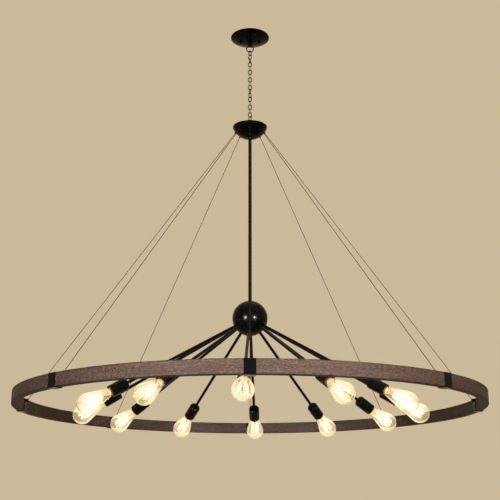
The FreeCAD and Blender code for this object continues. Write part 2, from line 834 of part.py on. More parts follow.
def bulb_glass_outline():
    """Half section of the hollow envelope: a round end, a long taper and a straight neck."""
    dome = "bulb_radius"
    widest = "( bulb_length - base_length - bulb_radius )"
    neck = "neck_radius"
    reach = f"sqrt( {neck} ^ 2 + {widest} ^ 2 )"
    tilt = f"( asin( {dome} / {reach} ) - atan( {neck} / {widest} ) )"
    inner_dome = "( bulb_radius - glass_wall )"
    inner_neck = "( neck_radius - glass_wall )"
    return [
        (inner_neck, "0"),
        (neck, "0"),
        (f"{dome} * cos( {tilt} )", f"{widest} - {dome} * sin( {tilt} )", dome),
        ("0", f"{widest} + {dome}"),
        ("0", f"{widest} + {inner_dome}", f"-1 * {inner_dome}"),
        (f"{inner_dome} * cos( {tilt} )", f"{widest} - {inner_dome} * sin( {tilt} )"),
    ]


def make_bulbs():
    """Twelve bulbs, each a glass envelope and a metal base on its arm's line."""
    base_start = cup_start() + value(BASE_START)
    for number in range(int(size.arm_count)):
        frame = arm_frame(number)
        name = f"bulb_base_{number + 1:02d}"
        base = turned(name, bulb_base_outline())
        base.Placement = frame.multiply(Placement(Vector(0, 0, base_start), Rotation()))
        subpart(name, base)
        name = f"bulb_glass_{number + 1:02d}"
        glass = turned(name, bulb_glass_outline())
        foot = base_start + size.base_length
        glass.Placement = frame.multiply(Placement(Vector(0, 0, foot), Rotation()))
        subpart(name, glass)


# ---------------------------------------------------------------- suspension wires
def make_wires():
    """Eight straight wires with a swaged ball at each end, their ferrules and their anchors."""
    upper, lower = wire_ends()
    along = wire_direction()
    ball = size.wire_ball_radius
    top = upper - along * (size.ferrule_inside + ball)
    wire = Part.makeCylinder(size.wire_radius, (lower - top).Length, top, along)
    wire = wire.fuse([Part.makeSphere(ball, top), Part.makeSphere(ball, lower)])
    group("suspension_wires", around(wire, size.wire_count))
    bore = size.wire_radius + size.thread_clearance
    start = upper - along * (size.ferrule_inside - size.seat_gap)
    length = size.ferrule_inside - size.seat_gap + size.ferrule_outside
    ferrule = Part.makeCylinder(size.ferrule_radius, length, start, along)
    ferrule = ferrule.cut(Part.makeCylinder(bore, length, start, along))
    group("wire_ferrules", around(ferrule, size.wire_count))
    half = size.anchor_length / 2
    anchor = Part.makeCylinder(size.anchor_radius, size.anchor_length, lower - Vector(0, 0, half))
    back = Part.makeBox(size.anchor_radius, 2 * size.anchor_radius, size.anchor_length)
    back.translate(lower - Vector(0, size.anchor_radius, half))
    anchor = anchor.fuse(back)
    pocket = ball + size.seat_gap
    way_in = Part.makeCylinder(bore, size.anchor_length, lower, along * -1)
    way_down = Part.makeCylinder(pocket, size.anchor_length, lower, Vector(0, 0, -1))
    anchor = anchor.cut([way_in, way_down, Part.makeSphere(pocket, lower)])
    group("wire_anchors", around(anchor, size.wire_count))


# ---------------------------------------------------------------- rim and brackets
def ring_sector(inner, outer, low, high, sweep):
    """A piece of a flat ring, its middle on the +X axis."""
    start = -sweep / 2
    blank = Part.makeCylinder(outer, high - low, Vector(0, 0, low), Vector(0, 0, 1), sweep)
    hollow = Part.makeCylinder(inner, high - low, Vector(0, 0, low), Vector(0, 0, 1))
    sector = blank.cut(hollow)
    sector.rotate(Vector(0, 0, 0), Vector(0, 0, 1), start)
    return sector


def screw_places():
    """Where the screws of one bracket go: turn about Z and height, on both sides of the joint."""
    inner = size.rim_radius - size.rim_thick
    turn = math.degrees(size.screw_spacing / 2 / inner)
    height = value(RIM_BOTTOM) + size.rim_height * 0.4
    return [(-turn, height), (turn, height)]


def radial_cylinder(radius, start, length, turn, height):
    """A cylinder that points away from the Z axis."""
    way = Vector(math.cos(math.radians(turn)), math.sin(math.radians(turn)), 0)
    return Part.makeCylinder(radius, length, way * start + Vector(0, 0, height), way)


def make_rim():
    """Eight curved wooden segments that meet under the brackets."""
    outer = size.rim_radius
    inner = outer - size.rim_thick
    low = value(RIM_BOTTOM)
    step = 360 / size.wire_count
    sweep = step - math.degrees(size.rim_joint / outer)
    segment = ring_sector(inner, outer, low, low + size.rim_height, sweep)
    long_edges = [edge for edge in segment.Edges if abs(edge.Length - edge.BoundBox.ZLength) > 1]
    arcs = [edge for edge in long_edges if edge.Length > 2 * size.rim_thick]
    segment = segment.makeFillet(size.rim_round, arcs)
    for turn, height in screw_places():
        side = -step / 2 if turn > 0 else step / 2
        pilot = size.screw_radius + size.thread_clearance
        depth = size.screw_length + 1
        segment = segment.cut(radial_cylinder(pilot, inner - 1, depth, side + turn, height))
    for number, shape in enumerate(around(segment, size.wire_count, step / 2), start=1):
        group(f"rim_segment_{number}", [shape])


def make_brackets():
    """Eight steel straps, each folded round the outside, the bottom and the inside of the rim."""
    outer = size.rim_radius + size.seat_gap
    inner = size.rim_radius - size.rim_thick - size.seat_gap
    low = value(RIM_BOTTOM) - size.seat_gap
    high = value(RIM_BOTTOM) + size.rim_height
    sweep = math.degrees(size.bracket_width / size.rim_radius)
    thick = size.bracket_thick
    blank = ring_sector(inner - thick, outer + thick, low - thick, high, sweep)
    channel = ring_sector(inner, outer, low, high, 2 * sweep)
    strap = blank.cut(channel)
    for turn, height in screw_places():
        bore = size.screw_radius + size.hole_clearance
        strap = strap.cut(radial_cylinder(bore, inner - 2 * thick, 3 * thick, turn, height))
    group("rim_brackets", around(strap, size.wire_count))
    screws = []
    for turn, height in screw_places():
        head_seat = inner - thick - size.seat_gap
        shank = radial_cylinder(size.screw_radius, head_seat, size.screw_length, turn, height)
        head_start = head_seat - size.screw_head_height
        head = radial_cylinder(size.screw_head_radius, head_start, size.screw_head_height, turn, height)
        screws.append(shank.fuse(head))
    shapes = []
    for screw in screws:
        shapes.extend(around(screw, size.wire_count))
    group("bracket_screws", shapes)


# ---------------------------------------------------------------- the whole chandelier
def check_model():
    """Stops if any object failed or any sub-part's shape is missing or faulty."""
    for item in doc.Objects:
        if "Invalid" in item.State or "Error" in item.State:
            raise RuntimeError(f"{item.Label} failed: {item.State}")
    for node, feature in subparts:
        if feature.Shape.isNull() or not feature.Shape.isValid():
            raise RuntimeError(f"{node} has no valid shape")


make_crossbar()
make_studs()
make_nipple()
make_nipple_locknut()
make_canopy()
make_cap_nuts()
make_canopy_loop()
make_chain()
make_hub_loop()
make_hub_lid()
make_hub_bowl()
make_rod()
make_cluster()
make_ball()
make_arms()
group("lock_nuts", rod_nuts() + arm_nuts())
make_cups()
make_lampholders()
make_bulbs()
make_wires()
make_rim()
make_brackets()
doc.recompute()
check_model()

os.makedirs("parts", exist_ok=True)
for node, feature in subparts:
    feature.Shape.exportStep(f"parts/{node}.step")
print(f"{len(subparts)} sub-parts, {sum(len(f.Shape.Solids) for _, f in subparts)} solids")
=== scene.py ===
"""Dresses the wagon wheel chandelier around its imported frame, and lights it in a plain pale studio.

Everything is in metres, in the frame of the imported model: the origin is the middle of the ceiling face of
the crossbar and +Z is up.
"""
import bmesh
import bpy
import json
import math
from mathutils import Matrix, Vector


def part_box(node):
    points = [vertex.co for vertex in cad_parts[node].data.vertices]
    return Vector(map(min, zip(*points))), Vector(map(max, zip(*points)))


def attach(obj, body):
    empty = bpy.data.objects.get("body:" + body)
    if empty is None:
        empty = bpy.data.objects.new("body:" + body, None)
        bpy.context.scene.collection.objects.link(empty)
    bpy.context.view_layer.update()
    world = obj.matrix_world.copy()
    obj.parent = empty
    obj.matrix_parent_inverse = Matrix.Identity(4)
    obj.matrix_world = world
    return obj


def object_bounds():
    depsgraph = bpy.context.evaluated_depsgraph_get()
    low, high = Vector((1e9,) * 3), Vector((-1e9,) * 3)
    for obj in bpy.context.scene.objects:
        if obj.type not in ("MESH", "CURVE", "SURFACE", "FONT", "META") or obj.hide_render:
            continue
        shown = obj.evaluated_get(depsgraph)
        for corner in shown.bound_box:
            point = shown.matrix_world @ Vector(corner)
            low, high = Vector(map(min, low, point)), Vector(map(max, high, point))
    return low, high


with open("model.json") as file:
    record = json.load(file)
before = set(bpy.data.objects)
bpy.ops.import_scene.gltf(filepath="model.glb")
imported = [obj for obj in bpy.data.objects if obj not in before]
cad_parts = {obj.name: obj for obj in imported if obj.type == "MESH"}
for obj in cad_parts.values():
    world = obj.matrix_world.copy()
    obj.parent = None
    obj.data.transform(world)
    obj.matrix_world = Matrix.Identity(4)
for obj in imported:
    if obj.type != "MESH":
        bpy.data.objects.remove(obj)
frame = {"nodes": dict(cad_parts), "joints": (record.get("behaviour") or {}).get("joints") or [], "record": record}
cad_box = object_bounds()

# ---------------------------------------------------------------- places read from the frame
BULBS = [f"{number:02d}" for number in range(1, 13)]
RIM_SEGMENTS = [f"rim_segment_{number}" for number in range(1, 9)]
BALL_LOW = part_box("ball_lower_half")[0]
BALL_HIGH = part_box("ball_upper_half")[1]
BALL_CENTRE = Vector((0.0, 0.0, (BALL_LOW.z + BALL_HIGH.z) / 2))
RIM_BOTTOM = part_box(RIM_SEGMENTS[0])[0].z
RIM_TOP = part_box(RIM_SEGMENTS[0])[1].z
RIM_OUTER = cad_box[1].x
RIM_INNER = min(math.hypot(v.co.x, v.co.y) for v in frame["nodes"][RIM_SEGMENTS[0]].data.vertices)
OBJECT_MIDDLE = (cad_box[0] + cad_box[1]) / 2

# ---------------------------------------------------------------- the photograph's camera
IMAGE_WIDTH = 500
FOCAL_PIXELS = 898.53
SENSOR_WIDTH = 36.0
CAMERA_BACK = 2.9798
CAMERA_UNDER_RIM = 0.3561
CAMERA_PITCH = math.radians(16.976)
CAMERA_REACH = 100.0

# ---------------------------------------------------------------- the room and its lamps
ROOM_COLOUR = (0.60, 0.49, 0.32, 1.0)
AMBIENT_COLOUR = (1.0, 0.96, 0.9, 1.0)
AMBIENT_STRENGTH = 0.12
FLOOR_DROP = 1.1
FLOOR_RADIUS = 60.0
FLOOR_SIDES = 96
SHADOW_REACH = 2.5
FLOOR_FADE = 4.5
FLOOR_FILL = 0.86
CATCH_LAMP_SIDE = 1.75
CATCH_LAMP_FRONT = 3.1
CATCH_LAMP_RISE = 0.05
FRONT_LAMP_FRONT = 4.8
FRONT_LAMP_RISE = 2.3
BACK_LAMP_BACK = 5.0
BACK_LAMP_RISE = 2.2
TOP_LAMP_RISE = 5.0


# ---------------------------------------------------------------- meshes
def finished(name, mesh_maker, body, material):
    """A smooth-shaded piece from a bmesh, with its material and slot, riding on a body."""
    mesh = bpy.data.meshes.new(name)
    bmesh.ops.recalc_face_normals(mesh_maker, faces=mesh_maker.faces)
    mesh_maker.to_mesh(mesh)
    mesh_maker.free()
    for face in mesh.polygons:
        face.use_smooth = True
    mesh.materials.append(material)
    piece = bpy.data.objects.new(name, mesh)
    bpy.context.scene.collection.objects.link(piece)
    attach(piece, body)
    return piece


def add_ring(maker, radius, height, sides, place):
    """One ring of vertices round the local Z axis."""
    ring = []
    for step in range(sides):
        angle = 2 * math.pi * step / sides
        point = Vector((radius * math.cos(angle), radius * math.sin(angle), height))
        ring.append(maker.verts.new(place @ point))
    return ring


def join_rings(maker, first, second):
    """Faces between two rings of equal size."""
    count = len(first)
    for step in range(count):
        after = (step + 1) % count
        maker.faces.new((first[step], first[after], second[after], second[step]))


def add_turned(maker, profile, sides, place):
    """A closed turned form from (radius, height) points, its ends capped."""
    rings = [add_ring(maker, radius, height, sides, place) for radius, height in profile]
    for first, second in zip(rings, rings[1:]):
        join_rings(maker, first, second)
    maker.faces.new(list(reversed(rings[0])))
    maker.faces.new(rings[-1])


def add_tube(maker, points, radius, sides, place):
    """A round rod along a line of points, its ends capped."""
    line = [place @ Vector(point) for point in points]
    side = (line[1] - line[0]).orthogonal().normalized()
    rings = []
    for number, point in enumerate(line):
        ahead = line[min(number + 1, len(line) - 1)]
        behind = line[max(number - 1, 0)]
        along = (ahead - behind).normalized()
        side = (side - along * side.dot(along)).normalized()
        across = along.cross(side)
        ring = []
        for step in range(sides):
            angle = 2 * math.pi * step / sides
            offset = side * math.cos(angle) + across * math.sin(angle)
            ring.append(maker.verts.new(point + offset * radius))
        rings.append(ring)
    for first, second in zip(rings, rings[1:]):
        join_rings(maker, first, second)
    maker.faces.new(list(reversed(rings[0])))
    maker.faces.new(rings[-1])


# ---------------------------------------------------------------- node materials
class Finish:
    """A node material being made: its tree, its main shader and short ways to add nodes."""

    def __init__(self, name):
        self.material = bpy.data.materials.new(name)
        self.material.use_nodes = True
        self.nodes = self.material.node_tree.nodes
        self.links = self.material.node_tree.links
        self.shader = self.nodes["Principled BSDF"]
        self.height = None

    def add(self, kind, inputs=None, **settings):
        """A new node, with its settings, and with values or links for its inputs."""
        node = self.nodes.new("ShaderNode" + kind)
        for key, setting in settings.items():
            setattr(node, key, setting)
        for key, given in (inputs or {}).items():
            self.put(node, key, given)
        return node

    def put(self, node, key, given):
        """A link or a value into one input of a node."""
        if isinstance(given, bpy.types.NodeSocket):
            self.links.new(given, node.inputs[key])
        else:
            node.inputs[key].default_value = given

    def place(self):
        """Where the surface point is in the piece's own coordinates."""
        return self.add("TexCoord").outputs["Object"]

    def stretched(self, scale, place=None):
        """The place, stretched by a different scale along each axis."""
        given = {"Vector": place or self.place(), "Scale": scale}
        return self.add("Mapping", given).outputs["Vector"]

    def noise(self, scale, place=None, detail=3.0, roughness=0.55):
        """A soft random value from 0 to 1."""
        given = {"Vector": place or self.place(), "Scale": scale, "Detail": detail, "Roughness": roughness}
        return self.add("TexNoise", given).outputs["Fac"]

    def math(self, operation, first, second=0.0):
        """A number worked out from one or two others."""
        return self.add("Math", {0: first, 1: second}, operation=operation).outputs["Value"]

    def between(self, value, low, high, from_low=0.3, from_high=0.7):
        """The value carried over from one range to another."""
        given = {"Value": value, "From Min": from_low, "From Max": from_high, "To Min": low, "To Max": high}
        return self.add("MapRange", given).outputs["Result"]

    def colours(self, value, *stops):
        """A colour ramp with (place, colour) stops."""
        node = self.add("ValToRGB", {"Fac": value})
        elements = node.color_ramp.elements
        while len(elements) < len(stops):
            elements.new(1.0)
        for element, (position, colour) in zip(elements, stops):
            element.position = position
            element.color = (*colour, 1.0)
        return node.outputs["Color"]

    def mixed(self, share, first, second):
        """Two colours mixed by a share."""
        node = self.add("Mix", data_type="RGBA")
        self.put(node, 0, share)
        self.put(node, 6, first)
        self.put(node, 7, second)
        return node.outputs[2]

    def relief(self, value, depth):
        """Adds a bump of a real depth in metres over those before it."""
        given = {"Height": value, "Distance": depth, "Strength": 1.0}
        if self.height is not None:
            given["Normal"] = self.height
        self.height = self.add("Bump", given).outputs["Normal"]
        self.put(self.shader, "Normal", self.height)

    def finish(self, **inputs):
        """Sets the main shader's inputs, given with underscores for spaces."""
        for key, given in inputs.items():
            self.put(self.shader, key.replace("_", " "), given)
        return self.material


def satin_black():
    """Black powder coat: near black, satin, with a fine even peel."""
    coat = Finish("satin_black_powder_coat")
    cloud = coat.noise(18.0, detail=4.0)
    tone = coat.colours(cloud, (0.35, (0.002, 0.002, 0.0024)), (0.7, (0.0045, 0.0043, 0.0042)))
    coat.relief(coat.noise(420.0, detail=2.0), 0.000005)
    coat.relief(coat.noise(1900.0, detail=1.0), 0.000005)
    rough = coat.between(coat.noise(70.0, detail=4.0), 0.2, 0.24)
    return coat.finish(Base_Color=tone, Roughness=rough, Specular_IOR_Level=0.06)


def oiled_bronze():
    """Dark oiled bronze: brown metal, rubbed lighter and glossier in patches, darker and matt between them."""
    bronze = Finish("dark_oiled_bronze")
    patches = bronze.noise(160.0, detail=5.0)
    tone = bronze.colours(
        patches,
        (0.36, (0.004, 0.003, 0.0025)),
        (0.56, (0.012, 0.0078, 0.0048)),
        (0.74, (0.036, 0.021, 0.011)),
    )
    bronze.relief(bronze.noise(900.0, detail=2.0), 0.00005)
    rough = bronze.between(patches, 0.52, 0.33)
    return bronze.finish(Base_Color=tone, Roughness=rough, Metallic=0.6, Specular_IOR_Level=0.1)


def zinc_plate():
    """Zinc plate: pale grey, with faint straw and blue clouds and fine spangle."""
    zinc = Finish("zinc_plate")
    tone = zinc.colours(
        zinc.noise(90.0, detail=4.0),
        (0.3, (0.42, 0.44, 0.47)),
        (0.55, (0.55, 0.54, 0.5)),
        (0.75, (0.6, 0.54, 0.4)),
    )
    zinc.relief(zinc.noise(1400.0, detail=2.0), 0.00003)
    rough = zinc.between(zinc.noise(240.0), 0.25, 0.42)
    return zinc.finish(Base_Color=tone, Roughness=rough, Metallic=1.0)


def black_nickel():
    """Turned and blackened nickel, with fine tool marks."""
    nickel = Finish("black_nickel")
    tone = nickel.colours(nickel.noise(300.0), (0.3, (0.02, 0.019, 0.018)), (0.7, (0.05, 0.047, 0.043)))
    marks = nickel.noise(1.0, nickel.stretched((300.0, 300.0, 5200.0)), detail=1.0)
    nickel.relief(marks, 0.00002)
    rough = nickel.between(nickel.noise(500.0), 0.3, 0.42)
    return nickel.finish(Base_Color=tone, Roughness=rough, Metallic=1.0)


def black_oxide():
    """Black oxide on screws: blue-black with oily patches."""
    oxide = Finish("black_oxide")
    tone = oxide.colours(oxide.noise(500.0), (0.3, (0.012, 0.012, 0.014)), (0.7, (0.035, 0.034, 0.034)))
    oxide.relief(oxide.noise(2400.0, detail=1.0), 0.00002)
    rough = oxide.between(oxide.noise(700.0), 0.28, 0.45)
    return oxide.finish(Base_Color=tone, Roughness=rough, Metallic=0.6)


def dull_phenolic():
    """Moulded phenolic: dark, dull, with a faint mottle."""
    plastic = Finish("moulded_phenolic")
    mottle = plastic.noise(350.0, detail=4.0)
    tone = plastic.colours(mottle, (0.35, (0.014, 0.012, 0.011)), (0.7, (0.035, 0.03, 0.027)))
    plastic.relief(plastic.noise(1200.0), 0.00005)
    rough = plastic.between(mottle, 0.5, 0.68)
    return plastic.finish(Base_Color=tone, Roughness=rough, Specular_IOR_Level=0.4)


def brass(name, dark, light, smooth, dull):
    """Brass or copper alloy, with tarnish clouds and a fine grain."""
    metal = Finish(name)
    clouds = metal.noise(220.0, detail=5.0)
    metal.relief(metal.noise(1600.0, detail=2.0), 0.00002)
    tone = metal.colours(clouds, (0.34, dark), (0.68, light))
    rough = metal.between(clouds, dull, smooth)
    return metal.finish(Base_Color=tone, Roughness=rough, Metallic=1.0)


GRAIN_SHIFT = 1.7
WOOD_DARK = (0.085, 0.041, 0.026)
WOOD_BROWN = (0.12, 0.066, 0.046)
WOOD_PALE = (0.158, 0.09, 0.065)
WOOD_FIBRE = (0.042, 0.023, 0.015, 1.0)
WOOD_FLECK = (0.25, 0.18, 0.145, 1.0)
WOOD_PORE = (0.036, 0.017, 0.01, 1.0)
WOOD_RUBBED = (0.25, 0.19, 0.165, 1.0)
WOOD_BLOTCH = (0.076, 0.045, 0.032, 1.0)
# the colour of the painted shade on the rim's inner face, and how far in from each face it reaches
WOOD_INNER_SHADE = (0.028, 0.016, 0.013, 1.0)
WOOD_EDGE = (0.03, 0.018, 0.013, 1.0)
INNER_SHADE_DEPTH = 0.001
OUTER_SHADE_DEPTH = 0.004
EDGE_WIDTH = 0.0022
EDGE_RAGGED = 0.0015


def along_the_rim(wood, middle_angle, shift):
    """The grain's own place (around, outward, up), and the outward and the upward part on their own."""
    turned = wood.add("Mapping", {"Vector": wood.place(), "Rotation": (0.0, 0.0, -middle_angle)})
    split = wood.add("SeparateXYZ", {"Vector": turned.outputs["Vector"]}).outputs
    around = wood.math("MULTIPLY", wood.math("ARCTAN2", split["Y"], split["X"]), RIM_OUTER)
    square = wood.math("ADD", wood.math("POWER", split["X"], 2.0), wood.math("POWER", split["Y"], 2.0))
    outward = wood.math("SQRT", square)
    moved = wood.math("ADD", around, shift)
    grain = wood.add("CombineXYZ", {"X": moved, "Y": outward, "Z": split["Z"]}).outputs["Vector"]
    return grain, outward, split["Z"]


def darkened_edges(wood, tone, height, fibres):
    """The tone with a dark ragged line along the upper and the lower edge of the rim."""
    edge_low = wood.math("SUBTRACT", height, RIM_BOTTOM)
    edge_high = wood.math("SUBTRACT", RIM_TOP, height)
    edge = wood.math("MINIMUM", edge_low, edge_high)
    ragged = wood.math("SUBTRACT", edge, wood.math("MULTIPLY", fibres, EDGE_RAGGED))
    return wood.mixed(wood.between(ragged, 0.65, 0.0, 0.0, EDGE_WIDTH), tone, WOOD_EDGE)


def stained_wood(name, middle_angle, shift):
    """Brown stained wood whose grain runs round the rim; each segment has its own stretch of grain."""
    wood = Finish(name)
    grain, outward, height = along_the_rim(wood, middle_angle, shift)
    bands = wood.noise(1.0, wood.stretched((5.0, 60.0, 95.0), grain), detail=5.0, roughness=0.6)
    fibres = wood.noise(1.0, wood.stretched((42.0, 900.0, 900.0), grain), detail=4.0, roughness=0.65)
    flecks = wood.noise(1.0, wood.stretched((210.0, 700.0, 700.0), grain), detail=3.0, roughness=0.7)
    specks = wood.noise(1.0, wood.stretched((110.0, 290.0, 290.0), grain), detail=2.0, roughness=0.8)
    blotches = wood.noise(1.0, wood.stretched((14.0, 26.0, 26.0), grain), detail=3.0)

    tone = wood.colours(bands, (0.3, WOOD_DARK), (0.5, WOOD_BROWN), (0.68, WOOD_PALE))
    tone = wood.mixed(wood.between(fibres, 0.8, 0.0, 0.34, 0.56), tone, WOOD_FIBRE)
    tone = wood.mixed(wood.between(flecks, 0.0, 0.6, 0.55, 0.7), tone, WOOD_FLECK)
    tone = wood.mixed(wood.between(specks, 0.85, 0.0, 0.32, 0.5), tone, WOOD_PORE)
    tone = wood.mixed(wood.between(specks, 0.0, 0.7, 0.52, 0.7), tone, WOOD_RUBBED)
    tone = wood.mixed(wood.between(blotches, 0.0, 0.4), tone, WOOD_BLOTCH)
    # painted shade: the wood is darkened towards the rim's inner face, fully at the inner face and not at all near
    # the outer face
    depth = wood.between(outward, 0.45, 0.0, RIM_INNER + INNER_SHADE_DEPTH, RIM_OUTER - OUTER_SHADE_DEPTH)
    tone = wood.mixed(depth, tone, WOOD_INNER_SHADE)
    # darker along the upper and the lower edge of the rim
    tone = darkened_edges(wood, tone, height, fibres)

    wood.relief(fibres, 0.0004)
    wood.relief(flecks, 0.00025)
    rough = wood.between(fibres, 0.66, 0.48)
    return wood.finish(Base_Color=tone, Roughness=rough, Specular_IOR_Level=0.06)


# ---------------------------------------------------------------- bulbs
NECK_DEPTH = 0.002


class BulbShape:
    """How a bulb lies along its arm, measured from its own nodes."""

    def __init__(self, number):
        joint = next(j for j in frame["joints"] if j["name"] == f"bulb_{number}_out")
        self.axis = Vector(joint["axis"]).normalized()
        glass = self.along_and_out(f"bulb_glass_{number}")
        self.glass_start = min(along for along, out in glass)
        self.glass_end = max(along for along, out in glass)
        self.widest = max(out for along, out in glass)
        self.neck = max(out for along, out in glass if along < self.glass_start + NECK_DEPTH)

    def along_and_out(self, node):
        """Each vertex of a node as its distance along the arm from the ball's centre and out from it."""
        found = []
        for vertex in frame["nodes"][node].data.vertices:
            reach = vertex.co - BALL_CENTRE
            along = reach.dot(self.axis)
            found.append((along, (reach - self.axis * along).length))
        return found

    def place(self, along, turn):
        """Local Z along the arm, the origin at a distance along it, turned round it."""
        level = self.axis.cross(Vector((0.0, 0.0, 1.0))).normalized()
        upward = level.cross(self.axis)
        rows = Matrix((level, upward, self.axis)).transposed().to_4x4()
        spot = BALL_CENTRE + self.axis * along
        return Matrix.Translation(spot) @ rows @ Matrix.Rotation(turn, 4, "Z")


SHAPES = {number: BulbShape(number) for number in BULBS}
BULB = SHAPES["01"]
GLASS_LENGTH = BULB.glass_end - BULB.glass_start
STEM_TOP = 0.36 * GLASS_LENGTH
STEM_RADIUS = 0.0028
STEM_NECK = 0.86 * BULB.neck
STEM_SIDES = 24
CAGE_START = 0.26 * GLASS_LENGTH
CAGE_END = 0.80 * GLASS_LENGTH
CAGE_LOW_RADIUS = 0.24 * BULB.widest
CAGE_HIGH_RADIUS = 0.40 * BULB.widest
CAGE_BULGE = 0.10 * BULB.widest
CAGE_HOOKS = 8
STRAND_STEPS = 8
FILAMENT_RADIUS = 0.00032
SUPPORT_RADIUS = 0.0003
HOOK_BEND = 0.6
WIRE_SIDES = 6
MAST_RADIUS = 0.0009
MAST_SIDES = 10
TURN_STEP = math.radians(53.0)


def glowing_glass():
    """Thin clear glass with a warm tint, and a faint warm painted glow on the glass round the filament."""
    glass = Finish("bulb_clear_glass")
    from_ball = glass.add("VectorMath", {0: glass.place(), 1: tuple(BALL_CENTRE)}, operation="DISTANCE")
    along = from_ball.outputs["Value"]
    middle = BULB.glass_start + (CAGE_START + CAGE_END) / 2
    away = glass.math("ABSOLUTE", glass.math("SUBTRACT", along, middle))
    glow_share = glass.between(away, 1.0, 0.0, 0.0, 0.5 * GLASS_LENGTH)
    swirl = glass.noise(55.0, detail=2.0)
    tone = glass.colours(swirl, (0.3, (1.0, 0.955, 0.87)), (0.7, (1.0, 0.975, 0.92)))
    glass.relief(glass.noise(38.0, detail=1.0), 0.0002)
    glass.finish(Base_Color=tone, Roughness=0.0, IOR=1.48, Transmission_Weight=1.0)
    # painted glow: the glass itself emits warm light, strongest round the middle of the filament
    glow = glass.between(glow_share, 0.035, 0.2, 0.0, 1.0)
    warmth = glass.colours(glow_share, (0.3, (1.0, 0.78, 0.43)), (0.9, (1.0, 0.88, 0.62)))
    glass.finish(Emission_Color=warmth, Emission_Strength=glow)
    open_to_light = glass.add("LightPath").outputs["Is Shadow Ray"]
    clear = glass.add("BsdfTransparent", {"Color": (1.0, 0.97, 0.9, 1.0)})
    both = glass.add("MixShader", {0: open_to_light, 1: glass.shader.outputs[0], 2: clear.outputs[0]})
    glass.put(glass.nodes["Material Output"], "Surface", both.outputs[0])
    return glass.material


def stem_glass():
    """The glass stem inside a bulb: amber glass with a faint painted amber glow standing in for the filament's
    light on it.
    """
    stem = Finish("bulb_stem_glass")
    tone = stem.colours(stem.noise(200.0), (0.3, (1.0, 0.82, 0.55)), (0.7, (1.0, 0.9, 0.72)))
    stem.relief(stem.noise(160.0, detail=1.0), 0.0002)
    return stem.finish(
        Base_Color=tone,
        Roughness=0.08,
        IOR=1.5,
        Transmission_Weight=0.85,
        # painted glow: the stem emits a faint, even amber light
        Emission_Color=(1.0, 0.5, 0.16, 1.0),
        Emission_Strength=0.12,
    )


def hot_filament():
    """A glowing carbon filament, a little cooler in patches along it."""
    wire = Finish("hot_filament")
    heat = wire.noise(900.0, detail=1.0)
    tone = wire.colours(heat, (0.3, (1.0, 0.70, 0.36)), (0.7, (1.0, 0.82, 0.52)))
    strength = wire.between(heat, 4.0, 6.0)
    soot = (0.05, 0.03, 0.02, 1.0)
    return wire.finish(Base_Color=soot, Emission_Color=tone, Emission_Strength=strength)


def cage_point(hook, share):
    """A point of the filament's cage: hook counts round it, share goes from its foot to its top."""
    angle = 2 * math.pi * hook / CAGE_HOOKS
    bulge = CAGE_BULGE * math.sin(math.pi * share)
    radius = CAGE_LOW_RADIUS + (CAGE_HIGH_RADIUS - CAGE_LOW_RADIUS) * share + bulge
    height = CAGE_START + (CAGE_END - CAGE_START) * share
    return Vector((radius * math.cos(angle), radius * math.sin(angle), height))


def make_filament(number, place, material):
    """A squirrel-cage filament: strands up and down between the lower and the upper hooks."""
    maker = bmesh.new()
    for strand in range(2 * CAGE_HOOKS):
        foot = strand // 2 + (strand % 2)
        top = strand // 2 + 0.5
        line = []
        for step in range(STRAND_STEPS + 1):
            share = step / STRAND_STEPS
            hook = foot + (top - foot) * share
            line.append(cage_point(hook, share))
        add_tube(maker, line, FILAMENT_RADIUS, WIRE_SIDES, place)
    return finished(f"bulb_filament_{number}", maker, f"bulb_{number}", material)


def make_supports(number, place, material):
    """The mast and the hooks that hold the filament."""
    maker = bmesh.new()
    mast = [(0.0, 0.0, 0.5 * STEM_TOP), (0.0, 0.0, STEM_TOP), (0.0, 0.0, CAGE_END)]
    add_tube(maker, mast, MAST_RADIUS, MAST_SIDES, place)
    for hook in range(CAGE_HOOKS):
        low = cage_point(hook, 0.0)
        high = cage_point(hook + 0.5, 1.0)
        low_root = Vector((0.0, 0.0, low.z - 0.1 * CAGE_START))
        high_root = Vector((0.0, 0.0, high.z - 0.05 * CAGE_END))
        for root, tip in ((low_root, low), (high_root, high)):
            line = [root, root.lerp(tip, HOOK_BEND), tip]
            add_tube(maker, line, SUPPORT_RADIUS, WIRE_SIDES, place)
    return finished(f"bulb_supports_{number}", maker, f"bulb_{number}", material)


def make_stem(number, place, material):
    """The glass stem: a flare that closes the neck, a tube and a button at its top."""
    maker = bmesh.new()
    profile = [
        (STEM_NECK, 0.002),
        (0.9 * STEM_NECK, 0.0045),
        (0.55 * STEM_NECK, 0.11 * GLASS_LENGTH),
        (1.15 * STEM_RADIUS, 0.19 * GLASS_LENGTH),
        (STEM_RADIUS, 0.28 * GLASS_LENGTH),
        (STEM_RADIUS, STEM_TOP - 0.004),
        (1.5 * STEM_RADIUS, STEM_TOP - 0.002),
        (1.5 * STEM_RADIUS, STEM_TOP),
        (0.7 * STEM_RADIUS, STEM_TOP + 0.0018),
    ]
    add_turned(maker, profile, STEM_SIDES, place)
    return finished(f"bulb_stem_{number}", maker, f"bulb_{number}", material)


def make_bulb(number, turn, materials):
    """What shows inside one bulb's glass, turned by its own angle."""
    shape = SHAPES[number]
    inside = shape.place(shape.glass_start, turn)
    make_stem(number, inside, materials["stem"])
    make_supports(number, inside, materials["support"])
    make_filament(number, inside, materials["filament"])


# ---------------------------------------------------------------- finishes of the frame's own nodes
def dress_nodes(finishes):
    """Gives each node of the frame the finish of its slot, and each rim segment its own grain."""
    slots = {part["node"]: part["material_slot"] for part in frame["record"]["subparts"]}
    for node, piece in frame["nodes"].items():
        if node in RIM_SEGMENTS:
            low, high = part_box(node)
            middle = (low + high) / 2
            number = RIM_SEGMENTS.index(node)
            middle_angle = math.atan2(middle.y, middle.x)
            finish = stained_wood(f"rim_wood_{number + 1}", middle_angle, GRAIN_SHIFT * number)
        else:
            finish = finishes[slots[node]]
        piece.data.materials.clear()
        piece.data.materials.append(finish)


